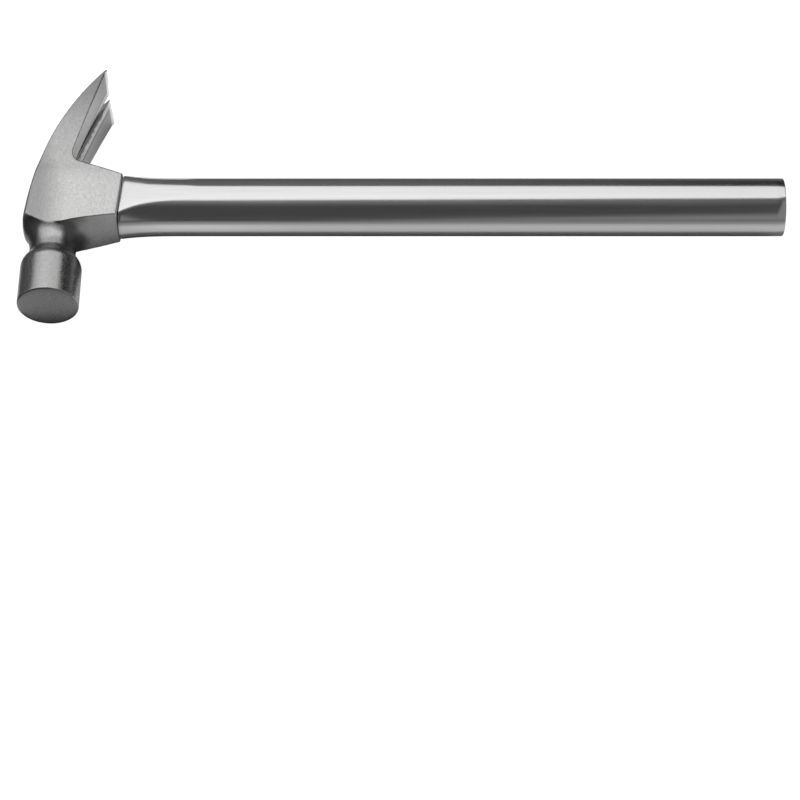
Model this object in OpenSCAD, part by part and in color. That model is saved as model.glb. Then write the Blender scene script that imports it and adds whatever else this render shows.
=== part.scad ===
// Straight claw hammer: a forged steel head on a steel tube handle.
// Working axes: +X along the handle to the butt, +Y to the claw, +Z across the cheeks.
// Heights and reaches are taken from the point where the bell axis crosses the handle axis.

/* [Overall] */
// Length from the poll to the butt
overall_l = 331.5; // [280:0.5:420]
// Handle axis to the striking face
face_reach = 54; // [48:0.5:66]
// Handle axis to the claw tips
claw_reach = 63.2; // [56:0.2:76]

/* [Bell and neck] */
// Diameter of the bell
bell_d = 26.4; // [22.4:0.2:34]
// Length of the bell's full diameter
bell_l = 21.2; // [16:0.2:26]
// Width of the bevel round the striking face
face_bevel_w = 1.8; // [0.4:0.1:4]
// Height of the bevel round the striking face
face_bevel_h = 0.7; // [0.2:0.1:2]
// Radius of the bell's shoulder
shoulder_r = 5; // [4:0.1:8]
// Diameter of the neck
neck_d = 20; // [18:0.1:21.6]
// Length of the straight neck
neck_l = 2.9; // [1:0.1:6]
// Radius of the scoop between the neck and the body
flare_r = 14; // [11:0.5:20]

/* [Head body] */
// Bell axis to the poll face, measured along the handle axis
poll_offset = 11.5; // [10:0.1:15]
// Slope of the poll face
poll_tilt = 12; // [9:0.5:16]
// Handle axis to the lower edge of the poll
poll_drop = 11.2; // [10.4:0.1:14]
// Radius of the poll's crown from cheek to cheek
crown_r = 45; // [34:1:90]
// How much the crown takes off the poll's lower edge
crown_trim = 0.2; // [0.1:0.05:0.6]
// Thickness across the cheeks at the bell axis
cheek_t = 24.6; // [22.6:0.1:28]
// Bell axis to the end of the socket
socket_l = 27.7; // [22:0.1:36]
// Height of the socket's end, along the head
socket_h = 22.8; // [22.4:0.1:26]
// Width of the socket's end, across the cheeks
socket_w = 20.6; // [19.8:0.1:22.4]
// Slope of the socket's claw side
socket_top_taper = 16.5; // [10:0.5:20]
// Slope of the socket's face side
socket_under_taper = 12.5; // [8:0.5:14]
// Slant of the socket's end
socket_slant = 4; // [0:0.5:5]

/* [Claw] */
// Height above the handle axis where the claw's back starts to curve
claw_start = 8; // [6:0.5:12]
// Radius of the claw's back
claw_r = 114; // [100:1:140]
// Bell axis to the crook under the claw
crook_x = 5.7; // [3:0.1:7]
// Radius of the crook
crook_r = 5; // [3:0.1:7]
// Bow of the claw's underside
claw_bow = 0.3; // [0.1:0.1:2]
// Thickness of the claw's tip
tip_t = 0.5; // [0.3:0.1:1.2]
// Length of the thin edge at the claw's tip
tip_lip = 1.3; // [0.5:0.1:3]
// Width of the claw at the crook
claw_root_w = 24; // [23:0.1:28]
// Width of the claw at its tips
claw_tip_w = 37.6; // [30:0.1:44]
// Handle axis to the bottom of the nail slot
slot_base = 21; // [19.5:0.5:28]
// Width of the nail slot at its bottom
slot_base_w = 3; // [1.4:0.1:3.6]
// Width of the nail slot at the tips
slot_tip_w = 4.4; // [3:0.1:6]
// Width of the slot's bevelled mouth at its bottom
mouth_base_w = 8.2; // [5:0.1:11]
// Width of the slot's bevelled mouth at the tips
mouth_tip_w = 12.4; // [8:0.1:14]
// Depth of the mouth at the bottom of the slot
mouth_base_h = 3; // [1:0.1:3.6]
// Depth of the mouth at the tips
mouth_tip_h = 0.5; // [0.3:0.1:1]

/* [Handle tube] */
// Diameter of the tube
tube_d = 25.4; // [24.4:0.1:28]
// Wall of the tube
tube_wall = 1.6; // [1:0.1:2]
// Length from the flattened end to the full round
transition_l = 35; // [20:1:60]
// How far the tube's flats lie inside the socket's end
socket_ledge = 0.3; // [0.1:0.05:0.6]
// Radius of the tube's round sides at the flattened end
side_r = 14; // [12.7:0.1:14.6]
// Height of the shoulder that seats on the socket's end
shoulder_step = 1.6; // [1.2:0.1:2]
// Chamfer on the butt's edge
butt_chamfer = 0.4; // [0.2:0.1:0.8]

/* [Eye and tenon] */
// Corner radius of the tenon
tenon_r = 3.2; // [2.6:0.1:5]
// How much lower the tenon is at the poll than at the socket, on each side
tenon_drop = 1.8; // [1:0.1:2.4]
// How much slimmer the tenon is at its waist, on each side
waist_in = 0.9; // [0.4:0.1:1.2]
// Bell axis to the tenon's waist
waist_x = 6; // [2:0.5:12]
// Tenon end below the poll face
tenon_recess = 0.3; // [0.1:0.1:0.8]

/* [Core and wedges] */
// How far the core runs into the tube past the socket
core_past_socket = 10; // [4:0.5:20]
// Depth of a wedge
wedge_l = 16; // [8:0.5:18]
// Width of a wedge
wedge_w = 5; // [3:0.1:5.4]
// Thickness of a wedge at the poll
wedge_t = 2.6; // [1.6:0.1:3.4]
// Thickness of a wedge at its point
wedge_point_t = 0.5; // [0.3:0.1:1]
// Distance between the two wedges' middles
wedge_pitch = 6.4; // [6.2:0.1:7]

/* [Butt plug] */
// Length of the butt plug
butt_plug_l = 14; // [8:0.5:30]
// Butt plug's face below the tube's end
butt_recess = 1.2; // [0.5:0.1:4]
// Chamfer on the butt plug's edges
butt_plug_chamfer = 0.8; // [0.3:0.1:1.5]

/* [Fits] */
// Tenon in the eye, on each side
eye_clear = 0.1; // [0.05:0.01:0.2]
// Core in the tenon, on each side
core_clear = 0.1; // [0.05:0.01:0.2]
// Shoulder of the tube to the socket's end
joint_gap = 0.3; // [0.1:0.05:0.6]
// Wedge in the core, on each side
wedge_clear = 0.05; // [0.02:0.01:0.1]
// Butt plug in the tube, on each side
plug_clear = 0.05; // [0.02:0.01:0.1]

/* [Hidden] */
$fn = 96;
// Reach of cutting solids past what they cut
over = 10;
// How far the claw's back is drawn past the tip, in degrees
tip_past = 2;
// Points round a lofted ring, and steps along a bend
ring_n = 72;
bend_n = 14;
loft_n = 9;
// How far above the round tube the lines of its flats end, so that each flat fades out
flat_fade = 0.3;

bell_r = bell_d / 2;
neck_r = neck_d / 2;
tube_r = tube_d / 2;
bore_r = tube_r - tube_wall;

// Poll face: a plane that meets the claw's back at the start of its curve
function poll_x(y) = -poll_offset + y * tan(poll_tilt);
crest_x = poll_x(-poll_drop) + crown_trim;
butt_x = crest_x + overall_l;

// Back of the claw: an arc tangent to the poll face
back_centre = [poll_x(claw_start) + claw_r * cos(poll_tilt), claw_start - claw_r * sin(poll_tilt)];
tip_angle = asin((claw_reach - back_centre[1]) / claw_r);
function back_point(angle, depth) = back_centre + (claw_r - depth) * [-cos(angle), sin(angle)];
lip_angle = tip_angle - tip_lip / claw_r * 180 / PI;
lip_start = back_point(lip_angle, tip_t);

// Underside of the claw: a bowed line from the crook to the thin edge at the tip
crook = [crook_x, socket_h / 2 + (socket_l - crook_x) * tan(socket_top_taper)];
under_l = norm(lip_start - crook);
under_dir = (lip_start - crook) / under_l;
under_out = [-under_dir[1], under_dir[0]];
function under_point(t) = crook + t * under_l * under_dir + 4 * claw_bow * t * (1 - t) * under_out;

// Crook: a fillet between the socket's claw side and the claw's underside
crook_to_socket = -socket_top_taper;
crook_to_claw = atan2(under_dir[1], under_dir[0]) + atan(4 * claw_bow / under_l);
crook_half = (crook_to_claw - crook_to_socket) / 2;
crook_mid = (crook_to_claw + crook_to_socket) / 2;
crook_centre = crook + crook_r / sin(crook_half) * [cos(crook_mid), sin(crook_mid)];
crook_share = crook_r / tan(crook_half) / under_l;
function crook_point(angle) = crook_centre + crook_r * [cos(angle), sin(angle)];
under_steps = [for (i = [0 : bend_n]) crook_share + (1 - crook_share) * i / bend_n];

// Cheeks: two wide arcs, thickest at the bell axis
cheek_fall = (cheek_t - socket_w) / 2;
cheek_r = (socket_l * socket_l + cheek_fall * cheek_fall) / (2 * cheek_fall);

// Bell, shoulder, neck and scoop, along the bell axis
face_r = bell_r - face_bevel_w;
shoulder_y = -face_reach + face_bevel_h + bell_l;
shoulder_angle = acos(1 - (bell_r - neck_r) / shoulder_r);
neck_y = shoulder_y + shoulder_r * sin(shoulder_angle);
flare_y = neck_y + neck_l;

// Claw's half width at a height
function claw_half(y) =
    (claw_root_w + (claw_tip_w - claw_root_w) * (y - crook[1]) / (claw_reach - crook[1])) / 2;

// Outline of a rounded rectangle as a distance from its middle, in a direction
function ring_reach(a, b, r, angle) =
    let (c = abs(cos(angle)), s = abs(sin(angle)), m = c * (a - r) + s * (b - r))
    c * (b - r) >= s * a ? a / c :
    s * (a - r) >= c * b ? b / s :
    m + sqrt(m * m - (a - r) * (a - r) - (b - r) * (b - r) + r * r);

// Socket's end and the tube's shoulder, which slant alike
function socket_end_x(y) = socket_l + (y + socket_h / 2) * tan(socket_slant);
function shoulder_x(y) = socket_end_x(y) + joint_gap;

// Tube: its shoulder, the end of its flattened stretch, and how far out its flats start
seat_x = socket_l + joint_gap;
round_x = seat_x + transition_l;
flat_start = socket_w / 2 - socket_ledge;

// Tenon sections: place along X, half height, half width, corner radius
tenon_a = socket_h / 2 - socket_ledge - shoulder_step;
tenon_b = flat_start - shoulder_step;
poll_end_x = crest_x - over;
function tenon(x, grow) =
    let (t = (x - seat_x) / (crest_x - seat_x), w = (x - waist_x) / (seat_x - waist_x),
         p = (x - waist_x) / (crest_x - waist_x))
    [x, tenon_a - tenon_drop * t + grow, tenon_b - waist_in * (1 - max(w, p)) + grow, tenon_r + grow];
tenon_places = [poll_end_x, crest_x, waist_x];

// Flattened end of the tube: two flats and two round sides that ease out into the round
transition_places = [for (i = [0 : loft_n]) seat_x + transition_l * i / loft_n];
function ease(x) = let (u = (x - seat_x) / transition_l) u * (2 - u);
function side_at(x) = side_r + (tube_r - side_r) * ease(x);
function flat_at(x) = flat_start + (tube_r + flat_fade - flat_start) * ease(x);

// Wedges and core
wedge_depth_x = poll_x(0) + wedge_l;
core_end_x = seat_x + core_past_socket;
core_step_x = seat_x + 3 * tube_wall;

// Whole part: middle of its box over the origin, lowest point at zero
half_height = max(claw_tip_w, bell_d, tube_d, cheek_t) / 2;
origin_shift = [-(crest_x + butt_x) / 2, (face_reach - claw_reach) / 2, half_height];

module placed() {
    translate(origin_shift) children();
}

// Solid through a list of rounded rectangles that stand across the X axis
module loft(sections) {
    last = len(sections) - 1;
    rings = [for (s = sections) for (j = [0 : ring_n - 1])
        let (angle = 360 * j / ring_n, reach = ring_reach(s[1], s[2], s[3], angle))
        [s[0], reach * cos(angle), reach * sin(angle)]];
    middles = [[sections[0][0], 0, 0], [sections[last][0], 0, 0]];
    start = len(rings);
    sides = [for (i = [0 : last - 1]) for (j = [0 : ring_n - 1]) for (half = [0, 1])
        let (k = (j + 1) % ring_n, p = i * ring_n, q = p + ring_n)
        half == 0 ? [p + j, q + j, q + k] : [p + j, q + k, p + k]];
    caps = [for (j = [0 : ring_n - 1]) for (end = [0, 1])
        let (k = (j + 1) % ring_n, p = last * ring_n)
        end == 0 ? [start, j, k] : [start + 1, p + k, p + j]];
    polyhedron(concat(rings, middles), concat(sides, caps));
}

// Outline in the X-Y plane, carried across the cheeks
module side_solid(points) {
    linear_extrude(claw_tip_w + 2 * over, center = true) polygon(points);
}

// Cylinder whose axis runs along Y, at a place in the X-Z plane
module along_head(r, x, z) {
    translate([x, 0, z]) rotate([90, 0, 0]) cylinder(r = r, h = 2 * (face_reach + claw_reach), center = true);
}

// Everything behind the poll's crest, its face and the claw's back, up to the socket's end
module back_limit() {
    bottom = -face_reach;
    crest_y = (crest_x + poll_offset) / tan(poll_tilt);
    end_angle = tip_angle + tip_past;
    back = [for (i = [0 : bend_n]) back_point(poll_tilt + (end_angle - poll_tilt) * i / bend_n, 0)];
    side_solid(concat([[crest_x, bottom], [crest_x, crest_y]], back,
        [[socket_end_x(claw_reach + over), claw_reach + over], [socket_end_x(bottom), bottom]]));
}

// Crown of the poll, rounded from cheek to cheek and deepest at the poll's lower edge
module crown_limit(recess) {
    translate([crest_x + recess, -poll_drop, 0]) rotate([0, 0, -poll_tilt / 2])
        along_head(crown_r, crown_r, 0);
}

// Cheeks of the body, and the widening sides of the claw
module width_limit() {
    sink = cheek_r - cheek_t / 2;
    low_y = crook[1] - over;
    high_y = claw_reach + over;
    start_x = poll_end_x - over;
    run = socket_l + over - start_x;
    intersection() {
        along_head(cheek_r, 0, -sink);
        along_head(cheek_r, 0, sink);
        translate([start_x, flare_y, -cheek_t]) cube([run, crook[1] + over - flare_y, 2 * cheek_t]);
    }
    translate([start_x, 0, 0]) rotate([90, 0, 90]) linear_extrude(run)
        polygon([[low_y, -claw_half(low_y)], [high_y, -claw_half(high_y)],
            [high_y, claw_half(high_y)], [low_y, claw_half(low_y)]]);
}

// Bell, neck and the scoop that spreads into the body
module turned() {
    shoulder = [for (i = [0 : bend_n]) let (angle = shoulder_angle * i / bend_n)
        [bell_r - shoulder_r * (1 - cos(angle)), shoulder_y + shoulder_r * sin(angle)]];
    scoop = [for (i = [0 : bend_n]) let (angle = 90 * i / bend_n)
        [neck_r + flare_r * (1 - cos(angle)), flare_y + flare_r * sin(angle)]];
    top_y = max(0, flare_y + flare_r) + over;
    rotate([-90, 0, 0]) rotate_extrude()
        polygon(concat([[0, -face_reach], [face_r, -face_reach], [bell_r, -face_reach + face_bevel_h]],
            shoulder, scoop, [[neck_r + flare_r, top_y], [0, top_y]]));
}

// Body above the scoop: lower edge of the poll, then down to the socket's face side at the bell axis
module upper_body() {
    under_y = -socket_h / 2 - socket_l * tan(socket_under_taper);
    far_x = socket_l + over;
    far_y = -socket_h / 2 + over * tan(socket_under_taper);
    side_solid([[poll_end_x, -poll_drop], [-neck_r / 2, -poll_drop], [0, under_y], [far_x, far_y],
        [far_x, claw_reach + over], [poll_end_x, claw_reach + over]]);
}

// Space under the claw, from its tip round the crook to the socket's end
module crook_cut() {
    under = [for (i = [0 : bend_n]) under_point(under_steps[bend_n - i])];
    round = [for (i = [1 : bend_n]) crook_point(
        crook_to_claw + 90 + (crook_to_socket + 180 - crook_to_claw) * i / bend_n)];
    far_x = socket_l + over;
    far_y = socket_h / 2 - over * tan(socket_top_taper);
    side_solid(concat([back_point(tip_angle, -over), back_point(tip_angle, tip_t)], under, round,
        [[far_x, far_y], [far_x + claw_reach, claw_reach + 2 * over], [0, claw_reach + 2 * over]]));
}

// Nail slot between the two prongs
module nail_slot() {
    base_half = slot_base_w / 2;
    past = claw_reach + over;
    spread = (slot_tip_w - slot_base_w) / 2 / (claw_reach - slot_base);
    past_half = base_half + spread * (past - slot_base);
    through = claw_tip_w + 2 * over;
    translate([-through / 2, 0, 0]) rotate([90, 0, 90]) linear_extrude(2 * through) {
        polygon([[slot_base, -base_half], [past, -past_half], [past, past_half], [slot_base, base_half]]);
        translate([slot_base, 0]) circle(base_half);
    }
}

// Bevelled mouth of the slot: a shallow groove along the underside, wider and shallower to the tips
module slot_mouth() {
    start = (slot_base - crook[1]) / (lip_start[1] - crook[1]);
    steps = [start, 1, 1 + over / under_l];
    points = [for (t = steps)
        let (share = (t - start) / (1 - start),
             deep = mouth_base_h + (mouth_tip_h - mouth_base_h) * min(1, share),
             wide = mouth_base_w + (mouth_tip_w - mouth_base_w) * share,
             p = under_point(t), bottom = p + deep * under_out, top = p - deep * under_out)
        each [[bottom[0], bottom[1], 0], [top[0], top[1], wide], [top[0], top[1], -wide]]];
    last = len(points) - 3;
    sides = [for (p = [0 : 3 : last - 3]) for (j = [0 : 2])
        let (k = (j + 1) % 3)
        each [[p + j, p + 3 + j, p + 3 + k], [p + j, p + 3 + k, p + k]]];
    polyhedron(points, concat([[0, 1, 2]], sides, [[last, last + 2, last + 1]]));
}

module hammer_head() {
    color("gainsboro") placed() difference() {
        intersection() {
            union() {
                upper_body();
                turned();
            }
            union() {
                translate([-bell_d, flare_y - face_reach - over, -bell_d])
                    cube([2 * bell_d, face_reach + over, 2 * bell_d]);
                intersection() {
                    back_limit();
                    width_limit();
                    crown_limit(0);
                }
            }
        }
        crook_cut();
        nail_slot();
        slot_mouth();
        loft(concat([for (x = tenon_places) tenon(x, eye_clear)], [tenon(seat_x + over, eye_clear)]));
    }
}

// What lies inside the poll face and its crown, for the pieces that end there
module poll_limit() {
    low = -claw_reach;
    reach = 2 * overall_l;
    intersection() {
        side_solid([[poll_x(low) + tenon_recess, low], [poll_x(claw_reach) + tenon_recess, claw_reach],
            [reach, claw_reach], [reach, low]]);
        union() {
            crown_limit(tenon_recess);
            translate([crest_x + crown_r, -claw_reach, -claw_reach])
                cube([reach, 2 * claw_reach, 2 * claw_reach]);
        }
    }
}

// Space between the two flats of the tube's flattened end, open past it
module between_flats(inset) {
    eased = [for (x = transition_places) [x, flat_at(x) - inset]];
    edge = concat([[seat_x - over, flat_start - inset]], eased,
        [[round_x, tube_r + over], [butt_x + 2 * over, tube_r + over]]);
    last = len(edge) - 1;
    mirrored = [for (i = [0 : last]) [edge[last - i][0], -edge[last - i][1]]];
    rotate([90, 0, 0]) linear_extrude(2 * tube_d, center = true) polygon(concat(edge, mirrored));
}

// Turned solid along the handle axis, with the two flats of the flattened end
module flattened(profile, inset) {
    intersection() {
        rotate([0, 90, 0]) rotate_extrude() polygon(profile);
        between_flats(inset);
    }
}

// What lies past the slanted shoulder of the tube
module past_shoulder() {
    reach = 2 * overall_l;
    low = -tube_d;
    high = tube_d;
    side_solid([[shoulder_x(low), low], [reach, low], [reach, high], [shoulder_x(high), high]]);
}

module handle_tube() {
    start_x = seat_x - over;
    hollow_places = [for (x = transition_places) if (x > core_step_x) x];
    outer = concat([[0, start_x], [side_r, start_x]], [for (x = transition_places) [side_at(x), x]],
        [[tube_r, butt_x - butt_chamfer], [tube_r - butt_chamfer, butt_x], [0, butt_x]]);
    inner = concat([[0, core_step_x], [side_at(core_step_x) - tube_wall, core_step_x]],
        [for (x = hollow_places) [side_at(x) - tube_wall, x]],
        [[bore_r, butt_x + over], [0, butt_x + over]]);
    color("silver") placed() difference() {
        union() {
            intersection() {
                flattened(outer, 0);
                past_shoulder();
            }
            intersection() {
                loft(concat([for (x = tenon_places) tenon(x, 0)], [tenon(core_step_x - tube_wall, 0)]));
                poll_limit();
            }
        }
        flattened(inner, tube_wall);
        loft(concat([for (x = tenon_places) tenon(x, -tube_wall)],
            [tenon(core_step_x + tube_wall, -tube_wall)]));
    }
}

// One wedge, thick at the poll, its middle at a height above the handle axis
module wedge_solid(y, grow) {
    start_x = poll_end_x;
    end_x = wedge_depth_x + grow;
    slope = (wedge_t - wedge_point_t) / 2 / wedge_l;
    start_half = wedge_point_t / 2 + slope * (wedge_depth_x - start_x) + grow;
    point_half = wedge_point_t / 2 + grow;
    translate([0, y + wedge_w / 2 + grow, 0]) rotate([90, 0, 0]) linear_extrude(wedge_w + 2 * grow)
        polygon([[start_x, -start_half], [end_x, -point_half], [end_x, point_half], [start_x, start_half]]);
}

module tenon_core() {
    inset = -tube_wall - core_clear;
    core_end = [core_end_x, tenon_a + inset, tenon_b + inset, tenon_r + inset];
    color("burlywood") placed() difference() {
        intersection() {
            loft(concat([for (x = tenon_places) tenon(x, inset)], [tenon(core_step_x, inset), core_end]));
            poll_limit();
        }
        for (side = [-1, 1]) wedge_solid(side * wedge_pitch / 2, wedge_clear);
    }
}

module wedge(y) {
    color("darkgray") placed() intersection() {
        wedge_solid(y, 0);
        poll_limit();
    }
}

module wedge_claw_side() {
    wedge(wedge_pitch / 2);
}

module wedge_face_side() {
    wedge(-wedge_pitch / 2);
}

module butt_plug() {
    r = bore_r - plug_clear;
    c = butt_plug_chamfer;
    start_x = butt_x - butt_recess - butt_plug_l;
    color("dimgray") placed() translate([start_x, 0, 0]) rotate([0, 90, 0]) rotate_extrude()
        polygon([[0, 0], [r - c, 0], [r, c], [r, butt_plug_l - c], [r - c, butt_plug_l], [0, butt_plug_l]]);
}

hammer_head();
handle_tube();
tenon_core();
wedge_claw_side();
wedge_face_side();
butt_plug();
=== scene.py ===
# Straight claw hammer: a forged steel head wedged on the squared tenon of a bright steel tube.
import math

import bpy
import numpy as np
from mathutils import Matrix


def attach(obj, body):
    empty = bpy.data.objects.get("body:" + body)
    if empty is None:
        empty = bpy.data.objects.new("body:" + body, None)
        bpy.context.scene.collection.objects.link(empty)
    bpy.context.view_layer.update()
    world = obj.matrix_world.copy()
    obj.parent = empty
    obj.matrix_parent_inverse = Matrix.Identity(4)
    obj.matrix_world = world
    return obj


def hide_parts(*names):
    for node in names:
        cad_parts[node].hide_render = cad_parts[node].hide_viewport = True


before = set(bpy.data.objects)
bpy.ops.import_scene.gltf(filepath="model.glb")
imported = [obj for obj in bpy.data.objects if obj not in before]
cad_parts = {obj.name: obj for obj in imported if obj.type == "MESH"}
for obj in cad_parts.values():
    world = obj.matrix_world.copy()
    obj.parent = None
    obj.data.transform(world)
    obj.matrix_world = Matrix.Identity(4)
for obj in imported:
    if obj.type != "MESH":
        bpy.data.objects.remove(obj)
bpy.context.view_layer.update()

# Shape values are in millimetres and degrees. Working axes: +X along the handle to the butt,
# +Y to the claw, +Z across the cheeks, from the point where the bell axis crosses the handle axis.
MM = 0.001
OVERALL_L = 331.5
FACE_REACH = 54.0
CLAW_REACH = 63.2

# Bell and neck
BELL_R = 13.2
BELL_L = 21.2
FACE_BEVEL_W = 1.8
FACE_BEVEL_H = 0.7
FACE_DOME_R = 190.0
SHOULDER_R = 5.0
NECK_R = 10.0
NECK_L = 2.9
FLARE_R = 14.0

# Body, socket and claw
POLL_OFFSET = 11.5
POLL_TILT = 12.0
POLL_DROP = 11.2
CROWN_R = 45.0
CROWN_TRIM = 0.2
CHEEK_T = 24.6
SOCKET_L = 27.7
SOCKET_H = 22.8
SOCKET_W = 20.6
SOCKET_TOP_TAPER = 16.5
SOCKET_UNDER_TAPER = 12.5
SOCKET_SLANT = 4.0
CLAW_START = 8.0
CLAW_R = 114.0
CROOK_X = 5.7
CROOK_R = 5.0
CLAW_BOW = 0.3
TIP_T = 0.8
TIP_LIP = 1.3
CLAW_ROOT_W = 24.0
CLAW_TIP_W = 37.6
SLOT_BASE = 21.0
SLOT_BASE_W = 3.0
SLOT_TIP_W = 3.4
MOUTH_BASE_W = 8.2
MOUTH_TIP_W = 12.4
MOUTH_BASE_H = 3.0
MOUTH_TIP_H = 0.2

# Handle tube, its tenon and the butt plug
TUBE_R = 12.7
TUBE_WALL = 1.6
TRANSITION_L = 35.0
JOINT_GAP = 0.3
SOCKET_LEDGE = 0.3
SIDE_R = 14.0
FLAT_FADE = 0.3
FLAT_SOFT = 2.5
FLAT_EASE = 3.8
SHOULDER_STEP = 1.6
BUTT_CHAMFER = 0.4
TENON_R = 3.2
TENON_DROP = 1.8
WAIST_IN = 0.9
WAIST_X = 6.0
TENON_RECESS = 0.3
EYE_CLEAR = 0.1
BUTT_PLUG_L = 14.0
BUTT_RECESS = 1.2
PLUG_CLEAR = 0.05
PLUG_EDGE = 0.8
PLUG_RIM_R = 8.6
PLUG_DISH = 0.6

# Rounding of edges
SOCKET_EDGE_R = 0.6
SOCKET_END_R = 0.9
POLL_EDGE_R = 0.9
CLAW_EDGE_R = 0.5
TIP_CORNER_R = 0.4
SCOOP_EDGE_R = 0.5
POLL_CORNER_R = 1.4
FACE_EDGE_R = 0.5
NECK_EDGE_R = 0.7
BODY_FILLET_R = 1.5
BODY_CORNER_R = 5.0
SHOULDER_EDGE_R = 1.2
SLOT_EDGE_R = 0.35
MOUTH_EDGE_R = 0.3
SEAT_EDGE_R = 0.6

# Stretches along Y or X over which widths and roundings change
CLAW_EASE = (10, 26)
BACK_EDGE_EASE = (12, 34)
SOCKET_EDGE_EASE = (9, 16)
POLL_CORNER_EASE = (9, 13)

# Fineness of the meshes
GRID_STEP = 0.43
GRID_MARGIN = 1.2
SETTLE_TIMES = 3
EVEN_TIMES = 3
FLAT_RINGS = 24
ROUND_RINGS = 30
TENON_RINGS = 8
BORE_STRIDE = 6
END_ROOM = 4
SEAT_ROOM = 1
TINY = 1e-9

# Mean cosines of slopes, which turn a distance along an axis into one square to the surface
WIDTH_SLOPE = 0.99
GROOVE_SLOPE = 0.97


def sin(degrees):
    return math.sin(math.radians(degrees))


def cos(degrees):
    return math.cos(math.radians(degrees))


def tan(degrees):
    return math.tan(math.radians(degrees))


def poll_x(y):
    """Place of the poll face at a height."""
    return -POLL_OFFSET + y * tan(POLL_TILT)


CREST_X = poll_x(-POLL_DROP) + CROWN_TRIM
BUTT_X = CREST_X + OVERALL_L
SEAT_X = SOCKET_L + JOINT_GAP
ROUND_X = SEAT_X + TRANSITION_L
CORE_STEP_X = SEAT_X + 3 * TUBE_WALL
SHIFT = np.array([-(CREST_X + BUTT_X) / 2, (FACE_REACH - CLAW_REACH) / 2, CLAW_TIP_W / 2])

# Back of the claw: an arc tangent to the poll face
BACK_START = np.array([poll_x(CLAW_START), CLAW_START])
BACK_CENTRE = BACK_START + CLAW_R * np.array([cos(POLL_TILT), -sin(POLL_TILT)])
TIP_ANGLE = math.degrees(math.asin((CLAW_REACH - BACK_CENTRE[1]) / CLAW_R))
LIP_ANGLE = TIP_ANGLE - math.degrees(TIP_LIP / CLAW_R)


def back_point(angle, depth):
    """Point under the claw's back, at an angle round its centre."""
    return BACK_CENTRE + (CLAW_R - depth) * np.array([-cos(angle), sin(angle)])


# Underside of the claw: a bowed line from the crook to the thin edge at the tip
CROOK = np.array([CROOK_X, SOCKET_H / 2 + (SOCKET_L - CROOK_X) * tan(SOCKET_TOP_TAPER)])
LIP_START = back_point(LIP_ANGLE, TIP_T)
UNDER_L = float(np.linalg.norm(LIP_START - CROOK))
UNDER_DIR = (LIP_START - CROOK) / UNDER_L
UNDER_OUT = np.array([-UNDER_DIR[1], UNDER_DIR[0]])

# Cheeks, bell and scoop
CHEEK_FALL = (CHEEK_T - SOCKET_W) / 2
CHEEK_R = (SOCKET_L ** 2 + CHEEK_FALL ** 2) / (2 * CHEEK_FALL)
SHOULDER_Y = -FACE_REACH + FACE_BEVEL_H + BELL_L
SHOULDER_ANGLE = math.degrees(math.acos(1 - (BELL_R - NECK_R) / SHOULDER_R))
NECK_Y = SHOULDER_Y + SHOULDER_R * sin(SHOULDER_ANGLE)
FLARE_Y = NECK_Y + NECK_L

# Flattened end of the tube
FLAT_START = SOCKET_W / 2 - SOCKET_LEDGE
TENON_A = SOCKET_H / 2 - SOCKET_LEDGE - SHOULDER_STEP
TENON_B = FLAT_START - SHOULDER_STEP


def end_lean(y):
    """How far the socket's slanted end runs past its face-side edge, at a height."""
    return (y + SOCKET_H / 2) * tan(SOCKET_SLANT)


def tenon(x, grow):
    """Half height, half width and corner radius of the tenon at a place along the handle."""
    t = (x - SEAT_X) / (CREST_X - SEAT_X)
    towards_seat = (x - WAIST_X) / (SEAT_X - WAIST_X)
    towards_poll = (x - WAIST_X) / (CREST_X - WAIST_X)
    waist = WAIST_IN * (1 - np.maximum(towards_seat, towards_poll))
    return TENON_A - TENON_DROP * t + grow, TENON_B - waist + grow, TENON_R + grow


# Head: distances to its surfaces, negative inside
def both(a, b, r):
    """Inside a and b, with the edge between them rounded."""
    return np.minimum(-r, np.maximum(a, b)) + np.hypot(np.maximum(a + r, 0), np.maximum(b + r, 0))


def either(a, b, r):
    """Inside a or b, with the corner between them filleted."""
    return -both(-a, -b, r)


def ramp(v, low, high):
    """Smooth step from 0 at low to 1 at high."""
    t = np.clip((v - low) / (high - low), 0, 1)
    return t * t * (3 - 2 * t)


def back_distance(x, y):
    """Poll face, then the arc of the claw's back."""
    along = (x - BACK_START[0]) * sin(POLL_TILT) + (y - BACK_START[1]) * cos(POLL_TILT)
    plane = (poll_x(y) - x) * cos(POLL_TILT)
    arc = np.hypot(x - BACK_CENTRE[0], y - BACK_CENTRE[1]) - CLAW_R
    return np.where(along > 0, arc, plane)


def crown_distance(x, y, z):
    """Crown of the poll, rounded from cheek to cheek and deepest at the poll's lower edge."""
    lean = POLL_TILT / 2
    across = (x - CREST_X) * cos(lean) - (y + POLL_DROP) * sin(lean)
    return np.hypot(across - CROWN_R, z) - CROWN_R


def width_distance(x, y, z):
    """Cheeks of the body, which ease into the widening sides of the claw."""
    cheek = np.sqrt(CHEEK_R ** 2 - x * x) - (CHEEK_R - CHEEK_T / 2)
    widening = (CLAW_TIP_W - CLAW_ROOT_W) / 2 / (CLAW_REACH - CROOK[1])
    claw = CLAW_ROOT_W / 2 + widening * (y - CROOK[1])
    return (z - cheek - (claw - cheek) * ramp(y, *CLAW_EASE)) * WIDTH_SLOPE


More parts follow.
